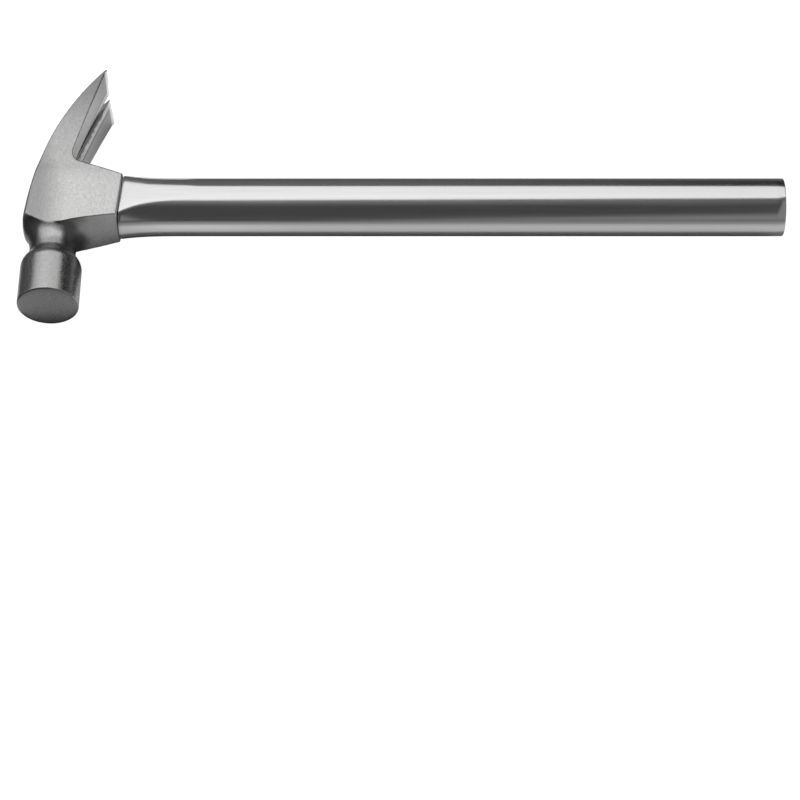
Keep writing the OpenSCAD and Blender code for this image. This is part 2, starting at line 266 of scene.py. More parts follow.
def turned_distance(x, y, z):
    """Bell with its face and shoulder, the neck, and the scoop that spreads into the body."""
    r = np.hypot(x, z)
    rise = NECK_Y - SHOULDER_Y
    fall = BELL_R - NECK_R
    cone = ((r - BELL_R) * rise + (y - SHOULDER_Y) * fall) / math.hypot(rise, fall)
    bell = both(r - BELL_R, cone, SHOULDER_EDGE_R)
    scoop = FLARE_R - np.hypot(np.minimum(r - NECK_R - FLARE_R, 0), y - FLARE_Y)
    neck = np.where(y < FLARE_Y, r - NECK_R, scoop)
    body = either(bell, neck, NECK_EDGE_R)
    dome = np.hypot(r, y + FACE_REACH - FACE_DOME_R) - FACE_DOME_R
    rim_y = y + FACE_REACH - FACE_BEVEL_H
    bevel_l = math.hypot(FACE_BEVEL_W, FACE_BEVEL_H)
    bevel = ((r - BELL_R) * FACE_BEVEL_H - rim_y * FACE_BEVEL_W) / bevel_l
    return both(both(body, bevel, FACE_EDGE_R), dome, FACE_EDGE_R)


def upper_distance(x, y):
    """Body above the scoop: lower edge of the poll, then down to the socket's face side."""
    poll = -POLL_DROP - y
    taper = tan(SOCKET_UNDER_TAPER)
    low_y = -SOCKET_H / 2 - SOCKET_L * taper
    socket = (low_y + x * taper - y) * cos(SOCKET_UNDER_TAPER)
    run = NECK_R / 2
    fall = -POLL_DROP - low_y
    slope = (-x * fall - (y - low_y) * run) / math.hypot(run, fall)
    return np.minimum(poll, both(socket, slope, BODY_CORNER_R))


def under_place(x, y):
    """Share along the claw's underside, and height above it into the claw."""
    t = ((x - CROOK[0]) * UNDER_DIR[0] + (y - CROOK[1]) * UNDER_DIR[1]) / UNDER_L
    h = (x - CROOK[0]) * UNDER_OUT[0] + (y - CROOK[1]) * UNDER_OUT[1]
    return t, h - 4 * CLAW_BOW * t * (1 - t)


def eye_distance(x, y, z):
    """Eye that the tube's tenon sits in."""
    a, b, r = tenon(x, EYE_CLEAR)
    down = np.abs(y) - a + r
    out = z - b + r
    return np.hypot(np.maximum(down, 0), np.maximum(out, 0)) + np.minimum(np.maximum(down, out), 0) - r


def slot_distance(y, z):
    """Nail slot between the two prongs, round at its bottom."""
    widening = (SLOT_TIP_W - SLOT_BASE_W) / 2 / (CLAW_REACH - SLOT_BASE)
    straight = z - SLOT_BASE_W / 2 - widening * (y - SLOT_BASE)
    return np.where(y > SLOT_BASE, straight, np.hypot(z, y - SLOT_BASE) - SLOT_BASE_W / 2)


def mouth_distance(t, h, z):
    """Bevelled mouth of the slot: a groove along the underside, wider and shallower to the tips."""
    start = (SLOT_BASE - CROOK[1]) / (LIP_START[1] - CROOK[1])
    share = (t - start) / (1 - start)
    deep = MOUTH_BASE_H + (MOUTH_TIP_H - MOUTH_BASE_H) * np.clip(share, 0, 1)
    wide = MOUTH_BASE_W + (MOUTH_TIP_W - MOUTH_BASE_W) * share
    groove = (h - deep * (1 - 2 * z / wide)) * GROOVE_SLOPE
    return both(groove, (start - t) * UNDER_L, MOUTH_EDGE_R)


def head_distance(points):
    """Distance to the whole forging's surface."""
    x = points[..., 0]
    y = points[..., 1]
    z = np.abs(points[..., 2])
    back = back_distance(x, y)
    width = width_distance(x, y, z)
    t, h = under_place(x, y)
    edge_r = POLL_EDGE_R + (CLAW_EDGE_R - POLL_EDGE_R) * ramp(y, *BACK_EDGE_EASE)
    side_r = SCOOP_EDGE_R + (SOCKET_EDGE_R - SCOOP_EDGE_R) * ramp(x, *SOCKET_EDGE_EASE)
    side_r = side_r + (POLL_CORNER_R - SCOOP_EDGE_R) * ramp(-x, *POLL_CORNER_EASE)
    limit = both(both(back, CREST_X - x, POLL_EDGE_R), crown_distance(x, y, z), POLL_EDGE_R)
    limit = both(limit, width, edge_r)
    limit = both(limit, (x - SOCKET_L - end_lean(y)) * cos(SOCKET_SLANT), SOCKET_END_R)
    limit = np.minimum(limit, y - FLARE_Y)
    body = either(upper_distance(x, y), turned_distance(x, y, z), BODY_FILLET_R)
    body = both(body, limit, side_r)
    under = np.minimum(-h, -back - TIP_T)
    socket_top = (y - CROOK[1]) * cos(SOCKET_TOP_TAPER) + (x - CROOK[0]) * sin(SOCKET_TOP_TAPER)
    crook_r = CLAW_EDGE_R + (SOCKET_EDGE_R - CLAW_EDGE_R) * ramp(x, *SOCKET_EDGE_EASE)
    body = both(body, either(under, socket_top, CROOK_R), crook_r)
    tip = back_point(TIP_ANGLE, 0)
    past_tip = (x - tip[0]) * sin(TIP_ANGLE) + (y - tip[1]) * cos(TIP_ANGLE)
    corner = both(past_tip, width, TIP_CORNER_R)
    body = np.where(y > CLAW_REACH / 2, np.maximum(body, corner), body)
    body = both(body, -mouth_distance(t, h, z), SLOT_EDGE_R)
    body = both(body, -slot_distance(y, z), SLOT_EDGE_R)
    return both(body, -eye_distance(x, y, z), SLOT_EDGE_R)


# Meshes
def make_object(name, points, faces, material, smooth_angle=None):
    """Mesh object from points in millimetres in the working axes."""
    mesh = bpy.data.meshes.new(name)
    mesh.from_pydata([tuple(p) for p in (np.asarray(points) + SHIFT) * MM], [], faces)
    mesh.validate()
    mesh.shade_smooth()
    if smooth_angle is not None:
        mesh.set_sharp_from_angle(angle=math.radians(smooth_angle))
    mesh.materials.append(material)
    obj = bpy.data.objects.new(name, mesh)
    bpy.context.scene.collection.objects.link(obj)
    return obj


def net(field, low, step):
    """Points and four-sided faces of the surface where a field on a grid changes sign."""
    cells = np.array(field.shape) - 1
    total = np.zeros((cells.prod(), 3))
    count = np.zeros(cells.prod())
    faces = []
    for a in range(3):
        b = (a + 1) % 3
        c = (a + 2) % 3
        first = np.take(field, range(cells[a]), axis=a)
        second = np.take(field, range(1, cells[a] + 1), axis=a)
        edge = np.argwhere((first < 0) != (second < 0))
        before = first[tuple(edge.T)]
        after = second[tuple(edge.T)]
        cut = edge.astype(float)
        cut[:, a] += before / (before - after)
        corners = []
        for back_b, back_c in ((1, 1), (0, 1), (0, 0), (1, 0)):
            cell = edge.copy()
            cell[:, b] -= back_b
            cell[:, c] -= back_c
            corners.append(np.ravel_multi_index(tuple(cell.T), tuple(cells)))
        for index in corners:
            count += np.bincount(index, minlength=len(count))
            for k in range(3):
                total[:, k] += np.bincount(index, weights=cut[:, k], minlength=len(count))
        quad = np.stack(corners, axis=1)
        faces.append(np.where((before < 0)[:, None], quad, quad[:, ::-1]))
    used = count > 0
    number = np.cumsum(used) - 1
    points = low + step * total[used] / count[used][:, None]
    return points, number[np.concatenate(faces)]


def settle(points, distance, times):
    """Points moved onto the surface where a distance is zero."""
    probe = 0.02
    least_size = 0.2
    for _ in range(times):
        slope = np.empty_like(points)
        for k in range(3):
            offset = np.zeros(3)
            offset[k] = probe
            slope[:, k] = (distance(points + offset) - distance(points - offset)) / (2 * probe)
        size = np.maximum((slope ** 2).sum(axis=1), least_size)
        points = points - slope * (distance(points) / size)[:, None]
    return points


def even_out(points, faces, times):
    """Points moved towards the middle of their neighbours."""
    ends = np.concatenate([faces[:, [k, (k + 1) % 4]] for k in range(4)])
    number = np.bincount(ends.ravel(), minlength=len(points))
    for _ in range(times):
        middle = np.zeros_like(points)
        for k in range(3):
            middle[:, k] = np.bincount(ends[:, 0], weights=points[ends[:, 1], k], minlength=len(points))
            middle[:, k] += np.bincount(ends[:, 1], weights=points[ends[:, 0], k], minlength=len(points))
        points = 0.5 * points + 0.5 * middle / number[:, None]
    return points


def head_mesh(material):
    """The forging, meshed from its distances."""
    step = GRID_STEP
    far_x = SOCKET_L + end_lean(SOCKET_H / 2)
    low = np.array([CREST_X, -FACE_REACH, -CLAW_TIP_W / 2]) - GRID_MARGIN
    high = np.array([far_x, CLAW_REACH, CLAW_TIP_W / 2]) + GRID_MARGIN
    lines = [np.arange(low[k], high[k], step) for k in range(3)]
    field = np.empty([len(line) for line in lines])
    for i, x in enumerate(lines[0]):
        layer = np.stack(np.meshgrid([x], lines[1], lines[2], indexing="ij"), axis=-1)
        field[i] = head_distance(layer)[0]
    points, faces = net(field, low, step)
    points = settle(points, head_distance, SETTLE_TIMES)
    for _ in range(EVEN_TIMES):
        points = settle(even_out(points, faces, 1), head_distance, 2)
    return make_object("forged_head", points, faces.tolist(), material)


RING_N = 144
RING = np.radians(np.arange(RING_N) * 360 / RING_N)


def rounded(a, b, r):
    """Reach of a rounded rectangle across the handle, in each direction of the ring."""
    c = np.abs(np.cos(RING))
    s = np.abs(np.sin(RING))
    m = c * (a - r) + s * (b - r)
    corner = m + np.sqrt(np.maximum(m * m - (a - r) ** 2 - (b - r) ** 2 + r * r, 0))
    flat = np.minimum(a / np.maximum(c, TINY), b / np.maximum(s, TINY))
    on_flat = (c * (b - r) >= s * a) | (s * (a - r) >= c * b)
    return np.where(on_flat, flat, corner)


def flattened(x, grow):
    """Reach of the tube's section, whose two flats fade out into the round."""
    u = np.clip((x - SEAT_X) / TRANSITION_L, 0, 1)
    share = 1 - (1 - u) ** FLAT_EASE
    side = SIDE_R + (TUBE_R - SIDE_R) * share + grow
    half = FLAT_START + (TUBE_R + FLAT_FADE - FLAT_START) * share + grow
    flat = half / np.maximum(np.abs(np.sin(RING)), TINY)
    soft = FLAT_SOFT * np.sqrt(1 - u) + TINY
    near = np.clip(1 - np.abs(side - flat) / soft, 0, 1)
    return np.minimum(side, flat) - near * near * soft / 4


def ring_at(x, reach):
    """Ring across the handle at one place, or at one place for each point."""
    return np.column_stack([np.broadcast_to(x, RING_N), reach * np.cos(RING), reach * np.sin(RING)])


def leaning_ring(ahead, grow):
    """Ring a distance past the tube's slanted shoulder, with a lean that fades out with the flats."""
    y = flattened(SEAT_X + ahead, grow) * np.cos(RING)
    x = SEAT_X + ahead + end_lean(y) * (1 - ahead / TRANSITION_L)
    return ring_at(x, flattened(x, grow))


def poll_end(reach):
    """Ring that follows the poll face and its crown, set back a little."""
    y = reach * np.cos(RING)
    z = reach * np.sin(RING)
    lean = POLL_TILT / 2
    sag = CROWN_R - np.sqrt(CROWN_R ** 2 - z * z)
    crown = CREST_X + TENON_RECESS + (sag + (y + POLL_DROP) * sin(lean)) / cos(lean)
    return np.column_stack([np.maximum(poll_x(y) + TENON_RECESS, crown), y, z])


def stitch(rings, closed):
    """Points and faces of a skin through rings, each joined to the next."""
    faces = []
    count = len(rings)
    for i in range(count if closed else count - 1):
        p = i * RING_N
        q = (i + 1) % count * RING_N
        for j in range(RING_N):
            k = (j + 1) % RING_N
            faces.append((p + j, p + k, q + k, q + j))
    return np.concatenate(rings), faces


def tenon_ring(x, grow):
    """Ring of the tenon."""
    return ring_at(x, rounded(*tenon(x, grow)))


def seat_ring(turn):
    """Ring round the rounded edge of the tube's slanted shoulder, at an angle round that edge."""
    return leaning_ring(SEAT_EDGE_R * (1 - cos(turn)), SEAT_EDGE_R * (sin(turn) - 1))


def tube_mesh(material):
    """The tube: tenon, slanted shoulder, flattened end easing into the round, butt, and its hollow."""
    steps = np.linspace(0, TRANSITION_L, FLAT_RINGS)
    straight = np.linspace(ROUND_X, BUTT_X - END_ROOM, ROUND_RINGS)[1:]
    bore = TUBE_R - TUBE_WALL
    seat = rounded(*tenon(SEAT_X, 0))
    outer_rim = ((BUTT_CHAMFER, 0.0), (0.15, 0.08), (0.04, 0.2), (0.0, BUTT_CHAMFER))
    inner_rim = ((0.0, 0.2), (0.05, 0.07), (0.2, 0.0))
    rings = [poll_end(rounded(*tenon(CREST_X, 0)))]
    in_head = np.linspace(CREST_X + END_ROOM, SEAT_X - SEAT_ROOM, TENON_RINGS)
    rings += [tenon_ring(x, 0) for x in in_head]
    rings += [ring_at(SEAT_X + end_lean(seat * np.cos(RING)), seat)]
    rings += [seat_ring(turn) for turn in (0, 30, 60, 90)]
    rings += [leaning_ring(ahead, 0) for ahead in steps[1:]]
    rings += [ring_at(x, TUBE_R) for x in straight]
    rings += [ring_at(BUTT_X - back, TUBE_R - inset) for back, inset in outer_rim]
    rings += [ring_at(BUTT_X - back, bore + inset) for back, inset in inner_rim]
    rings += [ring_at(x, bore) for x in straight[::-BORE_STRIDE]]
    hollow = [SEAT_X + ahead for ahead in steps[::-1] if SEAT_X + ahead > CORE_STEP_X]
    rings += [ring_at(x, flattened(x, -TUBE_WALL)) for x in hollow + [CORE_STEP_X]]
    rings += [tenon_ring(x, -TUBE_WALL) for x in (CORE_STEP_X, SEAT_X, WAIST_X)]
    rings += [poll_end(rounded(*tenon(CREST_X, -TUBE_WALL)))]
    points, faces = stitch(rings, True)
    return make_object("bright_tube", points, faces, material, smooth_angle=35)


def plug_mesh(material):
    """Butt plug: a turned moulding with a dished face inside a raised rim."""
    r = TUBE_R - TUBE_WALL - PLUG_CLEAR
    face = BUTT_X - BUTT_RECESS
    axis_r = 0.02
    back = [(axis_r, 0), (r - PLUG_EDGE, 0), (r - 0.2, 0.25), (r, PLUG_EDGE)]
    rim = [(r, -PLUG_EDGE), (r - 0.25, -0.25), (r - PLUG_EDGE, 0), (PLUG_RIM_R, 0)]
    dish = [(PLUG_RIM_R - 0.4, -0.12), (PLUG_RIM_R - 0.7, -0.42), (PLUG_RIM_R - 1.2, -PLUG_DISH),
            (4, -0.75), (1.3, -0.8), (1.1, -0.68), (0.8, -PLUG_DISH), (axis_r, -PLUG_DISH)]
    profile = [(radius, ahead - BUTT_PLUG_L) for radius, ahead in back] + rim + dish
    rings = [ring_at(face + ahead, radius) for radius, ahead in profile]
    points, faces = stitch(rings, False)
    faces.append(tuple(reversed(range(RING_N))))
    last = (len(rings) - 1) * RING_N
    faces.append(tuple(last + j for j in range(RING_N)))
    return make_object("moulded_plug", points, faces, material, smooth_angle=50)


# Materials, with the ranges of noise that they use
NOISE_RANGE = (0.3, 0.7)
MIDDLE_RANGE = (0.35, 0.65)
CORE_RANGE = (0.4, 0.6)


def shader(name, color, metallic, rough):
    """New material and its main shader."""
    material = bpy.data.materials.new(name)
    material.use_nodes = True
    main = material.node_tree.nodes["Principled BSDF"]
    main.inputs["Base Color"].default_value = (*color, 1)
    main.inputs["Metallic"].default_value = metallic
    main.inputs["Roughness"].default_value = rough
    return material, main


def grain(tree, scale, detail, rough=0.5):
    """Noise over the object, with its own fineness along each axis, in features per metre."""
    coordinates = tree.nodes.new("ShaderNodeTexCoord")
    mapping = tree.nodes.new("ShaderNodeMapping")
    mapping.inputs["Scale"].default_value = scale
    noise = tree.nodes.new("ShaderNodeTexNoise")
    noise.inputs["Scale"].default_value = 1
    noise.inputs["Detail"].default_value = detail
    noise.inputs["Roughness"].default_value = rough
    tree.links.new(coordinates.outputs["Object"], mapping.inputs["Vector"])
    tree.links.new(mapping.outputs["Vector"], noise.inputs["Vector"])
    return noise.outputs["Fac"]


def spread(tree, value, low, high, to_low=0, to_high=1):
    """Value moved from one range to another."""
    node = tree.nodes.new("ShaderNodeMapRange")
    node.inputs["From Min"].default_value = low
    node.inputs["From Max"].default_value = high
    node.inputs["To Min"].default_value = to_low
    node.inputs["To Max"].default_value = to_high
    tree.links.new(value, node.inputs["Value"])
    return node.outputs["Result"]


def math_node(tree, operation, a, b):
    """Sum, product or other combination of two values, either of which may be a number."""
    node = tree.nodes.new("ShaderNodeMath")
    node.operation = operation
    for socket, value in zip(node.inputs, (a, b)):
        if isinstance(value, (int, float)):
            socket.default_value = value
        else:
            tree.links.new(value, socket)
    return node.outputs["Value"]


def combined(tree, operation, *values):
    """Combination of several values, from the first to the last."""
    total = values[0]
    for value in values[1:]:
        total = math_node(tree, operation, total, value)
    return total


def product(tree, *values):
    """Product of several values."""
    return combined(tree, "MULTIPLY", *values)


def largest(tree, *values):
    """Largest of several values."""
    return combined(tree, "MAXIMUM", *values)


def magnitude(tree, value):
    """Value without its sign."""
    return math_node(tree, "ABSOLUTE", value, 0)


def from_noise(tree, noise, to_low, to_high):
    """Noise's usual range moved to another range."""
    return spread(tree, noise, *NOISE_RANGE, to_low, to_high)


def tint(tree, value, dark, light):
    """Colour between two colours."""
    node = tree.nodes.new("ShaderNodeMix")
    node.data_type = "RGBA"
    node.inputs["A"].default_value = (*dark, 1)
    node.inputs["B"].default_value = (*light, 1)
    tree.links.new(value, node.inputs["Factor"])
    return node.outputs["Result"]


def mix_tones(tree, share, first, second):
    """Blend of two colours, either of which may be a grey number."""
    node = tree.nodes.new("ShaderNodeMix")
    node.data_type = "RGBA"
    tree.links.new(share, node.inputs["Factor"])
    for socket, value in ((node.inputs["A"], first), (node.inputs["B"], second)):
        if isinstance(value, float):
            socket.default_value = (value, value, value, 1)
        else:
            tree.links.new(value, socket)
    return node.outputs["Result"]


def bump(tree, height, strength, distance):
    """Surface relief from a height."""
    node = tree.nodes.new("ShaderNodeBump")
    node.inputs["Strength"].default_value = strength
    node.inputs["Distance"].default_value = distance
    tree.links.new(height, node.inputs["Height"])
    return node.outputs["Normal"]


def reach(tree, axis, low, high):
    """Smooth step from 0 at one place along a working axis to 1 at another, in millimetres."""
    coordinates = tree.nodes.new("ShaderNodeTexCoord")
    axes = tree.nodes.new("ShaderNodeSeparateXYZ")
    tree.links.new(coordinates.outputs["Object"], axes.inputs["Vector"])
    node = tree.nodes.new("ShaderNodeMapRange")
    node.interpolation_type = "SMOOTHSTEP"
    shift = SHIFT["XYZ".index(axis)]
    node.inputs["From Min"].default_value = (low + shift) * MM
    node.inputs["From Max"].default_value = (high + shift) * MM
    tree.links.new(axes.outputs[axis], node.inputs["Value"])
    return node.outputs["Result"]


def facing(tree, axis):
    """How squarely the surface faces along an axis, from -1 to 1."""
    surface = tree.nodes.new("ShaderNodeNewGeometry")
    axes = tree.nodes.new("ShaderNodeSeparateXYZ")
    tree.links.new(surface.outputs["Normal"], axes.inputs["Vector"])
    return axes.outputs[axis]


def past_line(tree, base_w, tip_w):
    """Distance across the claw past a line on each side of the nail slot, in metres."""
    coordinates = tree.nodes.new("ShaderNodeTexCoord")
    axes = tree.nodes.new("ShaderNodeSeparateXYZ")
    tree.links.new(coordinates.outputs["Object"], axes.inputs["Vector"])
    across = math_node(tree, "SUBTRACT", axes.outputs["Z"], float(SHIFT[2]) * MM)
    low = (SLOT_BASE + float(SHIFT[1])) * MM
    high = (CLAW_REACH + float(SHIFT[1])) * MM
    edge = spread(tree, axes.outputs["Y"], low, high, base_w / 2 * MM, tip_w / 2 * MM)
    return math_node(tree, "SUBTRACT", magnitude(tree, across), edge)


def blended(tree, first, second, share):
    """Sum of two values, with a share of the first."""
    part = product(tree, first, share)
    rest = product(tree, second, 1 - share)
    return math_node(tree, "ADD", part, rest)


# Where the head's darkening, roughness, painted shade and painted highlights change, in millimetres along X
# or Y
CLAW_FADE_Y = (2, 24)
TIP_FADE_Y = (24, 60)
POLL_FADE_X = (8, -8)
NECK_FOOT_Y = (-30, -26)
NECK_TOP_Y = (-11.5, -14.5)
NECK_LEFT_X = (-14, -11.5)
SCOOP_SHADE_END_X = (22, 8)
NECK_LEFT_SHADE_X = (1.5, -5)
NECK_LOW_SHADE_Y = (-20.5, -25)
ABOVE_FACE_Y = (-53, -52)
BELL_Y = (-26, -30)
FACE_Y = (-52.8, -53.3)
SLOT_START_Y = (SLOT_BASE - 4, SLOT_BASE)
SLOT_SHADE_Y = (60, 54)
DARKER_TIP_Y = (34, 60)
TIP_HIGHLIGHT_Y = (60.2, 61.8)

# How squarely a surface faces an axis where a darkening, painted shade or painted highlight starts and
# where it is full
CHEEK_FACING = (0.6, 0.85)
SCOOP_SHADE_FACING = (0.92, 0.76)
UNDER_FACING = (-0.7, -0.9)
UNDERSIDE_FACING = (0.4, 0.6)

# How much each part of the head is darkened, from 0 for bright, shares of that, and what the painted
# highlight on the slot's bevel takes off; the scoop, neck, slot-side and edge-line amounts are painted
# shade
CLAW_DARKENING = 0.62
POLL_DARKENING = 0.45
SCOOP_SHADE = 0.75
NECK_LEFT_SHADE = 0.42
NECK_LOW_SHADE = 0.45
UNDER_DARKENING = 0.27
BELL_DARKENING = 0.42
EDGE_SHADOW = 0.9
SLOT_SHADE = 0.7
TIP_DARKENING = (0.07, 0.45)
FULLY_DARKENED = 0.8
EARLY_SHARE = 0.45
BELL_SHARE = 0.72
BEVEL_HIGHLIGHT = 0.2
BEVEL_TIP_SHARE = 0.4

# Painted shadow line, painted highlight and painted shade beside the nail slot: reaches across the claw, in
# millimetres
EDGE_SHADOW_LINE = (0.15, 0.5)
BEVEL_EDGE = 0.4
SLOT_SHADE_REACH = (0.8, 1.6)
SLOT_SHADE_SWAY = 0.6


def cheek_darkening(tree, across):
    """Darkening of the ground cheeks, which grows to the claw and to the poll."""
    cheek = spread(tree, across, *CHEEK_FACING)
    early = reach(tree, "Y", *CLAW_FADE_Y)
    to_claw = blended(tree, early, reach(tree, "Y", *TIP_FADE_Y), EARLY_SHARE)
    to_poll = reach(tree, "X", *POLL_FADE_X)
    darkening = largest(tree, product(tree, to_claw, CLAW_DARKENING), product(tree, to_poll, POLL_DARKENING))
    return product(tree, cheek, darkening)


def scoop_and_neck_shade(tree, across):
    """Painted shade in the scoop, on its surfaces that don't face up, and on the neck's left side and lower
    part.
    """
    neck = product(tree, reach(tree, "Y", *NECK_FOOT_Y), reach(tree, "Y", *NECK_TOP_Y))
    neck = product(tree, neck, reach(tree, "X", *NECK_LEFT_X))
    # Painted shade on the scoop's surfaces that don't face up, fading out towards the socket.
    scale = product(tree, spread(tree, across, *SCOOP_SHADE_FACING), reach(tree, "X", *SCOOP_SHADE_END_X), SCOOP_SHADE)
    # Painted shade on the neck's left side, away from the handle, and on its lower part towards the bell.
    left = product(tree, reach(tree, "X", *NECK_LEFT_SHADE_X), NECK_LEFT_SHADE)
    low = product(tree, reach(tree, "Y", *NECK_LOW_SHADE_Y), NECK_LOW_SHADE)
    return product(tree, neck, largest(tree, scale, left, low))


def bell_darkening(tree, bell):
    """Darkening of the bell, and more of its striking face."""
    bell_and_face = blended(tree, bell, reach(tree, "Y", *FACE_Y), BELL_SHARE)
    return product(tree, bell_and_face, BELL_DARKENING)


def claw_shade_and_darkening(tree, underside):
    """Under the claw: a painted shadow line along the slot's bevel, a painted highlight on the bevel,
    painted shade beside the slot, and darkening towards the tips.
    """
    past = past_line(tree, MOUTH_BASE_W, MOUTH_TIP_W)
    # Painted shadow line along the outer edge of the slot's bevel.
    groove = spread(tree, magnitude(tree, past), EDGE_SHADOW_LINE[0] * MM, EDGE_SHADOW_LINE[1] * MM, EDGE_SHADOW, 0)
    # Painted highlight on the bevel just inside that line.
    shine = spread(tree, past, -BEVEL_EDGE * MM, 0, -BEVEL_HIGHLIGHT, 0)
    # Painted shade in a wavering band beside the slot, fading out near the tips.
    noise = grain(tree, (700, 420, 700), 2)
    sway = spread(tree, noise, *CORE_RANGE, SLOT_SHADE_SWAY * MM, -SLOT_SHADE_SWAY * MM)
    beside = math_node(tree, "ADD", past_line(tree, SLOT_BASE_W, SLOT_TIP_W), sway)
    rough = spread(tree, beside, SLOT_SHADE_REACH[0] * MM, SLOT_SHADE_REACH[1] * MM, SLOT_SHADE, 0)
    rough = product(tree, rough, reach(tree, "Y", *SLOT_SHADE_Y))
    # Darker towards the tips, less so on the bevel.
    tips = spread(tree, reach(tree, "Y", *DARKER_TIP_Y), 0, 1, *TIP_DARKENING)
    tips = product(tree, tips, spread(tree, past, -BEVEL_EDGE * MM, 0, BEVEL_TIP_SHARE, 1))
    in_claw = product(tree, reach(tree, "Y", *SLOT_START_Y), underside)
    return product(tree, in_claw, combined(tree, "ADD", groove, shine, rough, tips))


def head_steel():
    """Forged steel: ground cheeks and bell, painted shade in the scoop, on the neck and under the claw, and
    a painted highlight along the claw's tip edges.
    """
    material, main = shader("head_steel", (0.56, 0.56, 0.55), 1, 0.36)
    tree = material.node_tree
    brush = grain(tree, (2200, 300, 2200), 3)
    marks = grain(tree, (1100, 800, 1100), 3, rough=0.6)
    blend = blended(tree, brush, marks, 0.35)
    across = magnitude(tree, facing(tree, "Z"))
    bell = reach(tree, "Y", *BELL_Y)
    # Surfaces that face the bell's end, but for the striking face, are made darker.
    under = product(tree, spread(tree, facing(tree, "Y"), *UNDER_FACING), reach(tree, "Y", *ABOVE_FACE_Y))
    # Darkening summed over the head: painted shade in the scoop, on the neck and under the claw, less a
    # painted highlight on the slot's bevel, and plain darkening elsewhere.
    darkening = largest(tree, cheek_darkening(tree, across), scoop_and_neck_shade(tree, across),
                   product(tree, under, UNDER_DARKENING), bell_darkening(tree, bell))
    underside = spread(tree, facing(tree, "X"), *UNDERSIDE_FACING)
    darkening = math_node(tree, "ADD", darkening, claw_shade_and_darkening(tree, underside))
    bright = spread(tree, darkening, FULLY_DARKENED, 0)
    shade = product(tree, spread(tree, blend, *MIDDLE_RANGE, 0.6, 1), bright)
    steel = tint(tree, shade, (0.13, 0.13, 0.13), (0.68, 0.68, 0.675))
    # Painted highlight: the claw's tip edges are turned near white.
    tip_highlight = product(tree, reach(tree, "Y", *TIP_HIGHLIGHT_Y), underside)
    tree.links.new(mix_tones(tree, tip_highlight, steel, 0.92), main.inputs["Base Color"])
    rough = math_node(tree, "SUBTRACT", from_noise(tree, blend, 0.28, 0.4), product(tree, bell, 0.05))
    tree.links.new(rough, main.inputs["Roughness"])
    tree.links.new(bump(tree, blend, strength=0.22, distance=0.0002), main.inputs["Normal"])
    return material


def tube_steel():
    """Bright drawn steel, polished along its length."""
    material, main = shader("tube_steel", (0.64, 0.64, 0.64), 1, 0.2)
    tree = material.node_tree
    lines = grain(tree, (22, 1900, 1900), 3)
    cloud = grain(tree, (30, 90, 90), 3)
    tone = tint(tree, lines, (0.58, 0.58, 0.58), (0.7, 0.7, 0.7))
    wear = blended(tree, lines, cloud, 0.6)
    tree.links.new(tone, main.inputs["Base Color"])
    tree.links.new(from_noise(tree, wear, 0.13, 0.21), main.inputs["Roughness"])
    tree.links.new(bump(tree, lines, strength=0.06, distance=0.0001), main.inputs["Normal"])
    return material


def core_wood():
    """Hardwood with its grain along the handle."""
    material, main = shader("core_wood", (0.6, 0.44, 0.26), 0, 0.55)
    tree = material.node_tree
    rings = grain(tree, (20, 700, 230), 4)
    pores = grain(tree, (60, 2600, 2600), 2)
    tone = tint(tree, spread(tree, rings, *MIDDLE_RANGE), (0.42, 0.27, 0.14), (0.72, 0.55, 0.34))
    tree.links.new(tone, main.inputs["Base Color"])
    tree.links.new(from_noise(tree, pores, 0.45, 0.7), main.inputs["Roughness"])
    tree.links.new(bump(tree, pores, strength=0.3, distance=0.0002), main.inputs["Normal"])
    return material


def wedge_steel():
    """Mild steel, dull and dented where it was driven."""
    material, main = shader("wedge_steel", (0.38, 0.38, 0.38), 1, 0.42)
    tree = material.node_tree
    dents = grain(tree, (900, 900, 900), 3)
    tone = tint(tree, dents, (0.26, 0.255, 0.25), (0.5, 0.5, 0.49))
    tree.links.new(tone, main.inputs["Base Color"])
    tree.links.new(from_noise(tree, dents, 0.32, 0.55), main.inputs["Roughness"])
    tree.links.new(bump(tree, dents, strength=0.4, distance=0.0003), main.inputs["Normal"])
    return material


def plug_plastic():
    """Black moulded plastic with a fine matte grain."""
    material, main = shader("plug_plastic", (0.03, 0.03, 0.03), 0, 0.5)
    tree = material.node_tree
    fine = grain(tree, (3800, 3800, 3800), 2)
    tone = tint(tree, fine, (0.022, 0.022, 0.023), (0.045, 0.045, 0.046))
    tree.links.new(tone, main.inputs["Base Color"])
    tree.links.new(from_noise(tree, fine, 0.42, 0.58), main.inputs["Roughness"])
    tree.links.new(bump(tree, fine, strength=0.3, distance=0.0001), main.inputs["Normal"])
    return material


# Pieces
WELD_REACH = 0.01
WEDGE_EDGE_R = 0.2


def place(piece, node):
    """Piece that stands for a solid, put under the root body, with the solid hidden."""
    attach(piece, "root")
    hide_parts(node)


def soften(obj, width):
    """Narrow rounded edges on a solid, after its corners are joined."""
    weld = obj.modifiers.new("corners", "WELD")
    weld.merge_threshold = WELD_REACH * MM
    bevel = obj.modifiers.new("edges", "BEVEL")
    bevel.width = width * MM
    bevel.segments = 2
    bevel.limit_method = "ANGLE"
    bevel.angle_limit = math.radians(40)


def dress(node, material):
    """Finish on a solid that is shown as it is."""
    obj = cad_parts[node]
    obj.data.materials.clear()
    obj.data.materials.append(material)
    return obj


place(head_mesh(head_steel()), "hammer_head")
place(tube_mesh(tube_steel()), "handle_tube")
place(plug_mesh(plug_plastic()), "butt_plug")
dress("tenon_core", core_wood())
WEDGE_FINISH = wedge_steel()
for wedge in ("wedge_claw_side", "wedge_face_side"):
    soften(dress(wedge, WEDGE_FINISH), WEDGE_EDGE_R)


